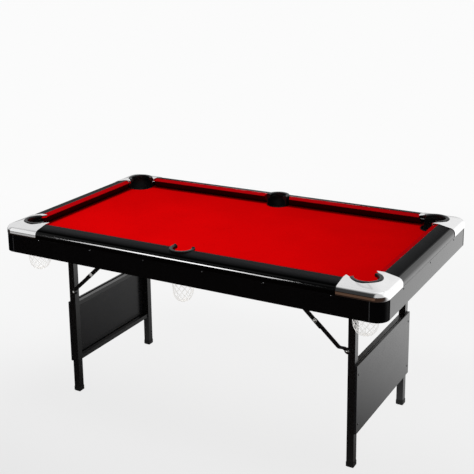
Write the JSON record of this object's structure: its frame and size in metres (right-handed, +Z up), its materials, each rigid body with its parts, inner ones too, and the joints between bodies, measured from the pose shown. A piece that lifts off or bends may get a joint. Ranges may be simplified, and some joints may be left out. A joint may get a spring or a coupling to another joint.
{
  "type": "folding pool table",
  "caption": "Folding pocket-billiards table with red cloth bed and cushions, black rails and aprons, silver corner caps, cord nets and hinged leg sets with folding stays.",
  "frame": {"origin": "on the floor, under the centre of the table", "axes": "+X along the table's length to the right as seen from the front, +Y from the front towards the back, +Z up"},
  "size_m": [1.65, 0.962, 0.7965],
  "materials": {
    "bed_cloth": "napped woven cloth",
    "cushion_cloth": "napped woven cloth stretched over rubber",
    "rail_laminate": "satin black laminate on board",
    "apron_laminate": "gloss black laminate on board",
    "cap_plating": "bright silver plating on moulded plastic",
    "liner_plastic": "moulded black plastic",
    "net_cord": "knotted white cord",
    "leg_paint": "satin black powder coat",
    "panel_laminate": "black laminate on board",
    "foot_plastic": "moulded black cap",
    "zinc_bolt": "bright zinc plate",
    "raw_board": "bare fibreboard"
  },
  "bodies": {
    "tabletop": {"bed_board": "raw_board", "bed_cloth": "bed_cloth", "rail_front": "rail_laminate", "rail_back": "rail_laminate", "rail_left": "rail_laminate", "rail_right": "rail_laminate", "cushion_front_left": "cushion_cloth", "cushion_front_right": "cushion_cloth", "cushion_back_left": "cushion_cloth", "cushion_back_right": "cushion_cloth", "cushion_left": "cushion_cloth", "cushion_right": "cushion_cloth", "apron_front": "apron_laminate", "apron_back": "apron_laminate", "apron_left": "apron_laminate", "apron_right": "apron_laminate", "apron_corner_front_left": "apron_laminate", "apron_corner_front_right": "apron_laminate", "apron_corner_back_left": "apron_laminate", "apron_corner_back_right": "apron_laminate", "corner_cap_front_left": "cap_plating", "corner_cap_front_right": "cap_plating", "corner_cap_back_left": "cap_plating", "corner_cap_back_right": "cap_plating", "pocket_liner_front_left": "liner_plastic", "pocket_liner_front_middle": "liner_plastic", "pocket_liner_front_right": "liner_plastic", "pocket_liner_back_left": "liner_plastic", "pocket_liner_back_middle": "liner_plastic", "pocket_liner_back_right": "liner_plastic", "pocket_net_front_left": "net_cord", "pocket_net_front_middle": "net_cord", "pocket_net_front_right": "net_cord", "pocket_net_back_left": "net_cord", "pocket_net_back_middle": "net_cord", "pocket_net_back_right": "net_cord", "leg_mount_left": "leg_paint", "leg_mount_right": "leg_paint", "bed_batten_front": "raw_board", "bed_batten_back": "raw_board"},
    "leg_set_left": {"leg_frame_left": "leg_paint", "leg_panel_left": "panel_laminate", "foot_left_front": "foot_plastic", "foot_left_back": "foot_plastic"},
    "brace_lower_left": {"brace_lower_left_front": "leg_paint", "brace_lower_left_back": "leg_paint"},
    "brace_upper_left": {"brace_upper_left_front": "leg_paint", "brace_upper_left_back": "leg_paint", "brace_bolt_left_front": "zinc_bolt", "brace_bolt_left_back": "zinc_bolt"},
    "leg_set_right": {"leg_frame_right": "leg_paint", "leg_panel_right": "panel_laminate", "foot_right_front": "foot_plastic", "foot_right_back": "foot_plastic"},
    "brace_lower_right": {"brace_lower_right_front": "leg_paint", "brace_lower_right_back": "leg_paint"},
    "brace_upper_right": {"brace_upper_right_front": "leg_paint", "brace_upper_right_back": "leg_paint", "brace_bolt_right_front": "zinc_bolt", "brace_bolt_right_back": "zinc_bolt"}
  },
  "joints": [
    {"name": "leg_fold_left", "type": "hinge", "parent": "tabletop", "child": "leg_set_left", "pos_m": [-0.634, 0, 0.7], "axis": [0, -1, 0], "range_deg": [0, 90]},
    {"name": "brace_upper_turn_left", "type": "hinge", "parent": "tabletop", "child": "brace_upper_left", "pos_m": [-0.364, 0, 0.702], "axis": [0, 1, 0], "range_deg": [0, 43.36]},
    {"name": "brace_lower_turn_left", "type": "hinge", "parent": "leg_set_left", "child": "brace_lower_left", "pos_m": [-0.62, 0, 0.465], "axis": [0, -1, 0], "range_deg": [0, 51.75]},
    {"name": "leg_fold_right", "type": "hinge", "parent": "tabletop", "child": "leg_set_right", "pos_m": [0.634, 0, 0.7], "axis": [0, 1, 0], "range_deg": [0, 86.5]},
    {"name": "brace_upper_turn_right", "type": "hinge", "parent": "tabletop", "child": "brace_upper_right", "pos_m": [0.364, 0, 0.702], "axis": [0, -1, 0], "range_deg": [0, 35.92]},
    {"name": "brace_lower_turn_right", "type": "hinge", "parent": "leg_set_right", "child": "brace_lower_right", "pos_m": [0.62, 0, 0.465], "axis": [0, 1, 0], "range_deg": [0, 59.08]}
  ],
  "couplings": [
    {"joint": "brace_upper_turn_left", "follows": "leg_fold_left", "ratio": 0.4812},
    {"joint": "brace_lower_turn_left", "follows": "leg_fold_left", "ratio": 0.57446},
    {"joint": "brace_upper_turn_right", "follows": "leg_fold_right", "ratio": 0.4147},
    {"joint": "brace_lower_turn_right", "follows": "leg_fold_right", "ratio": 0.68247}
  ]
}
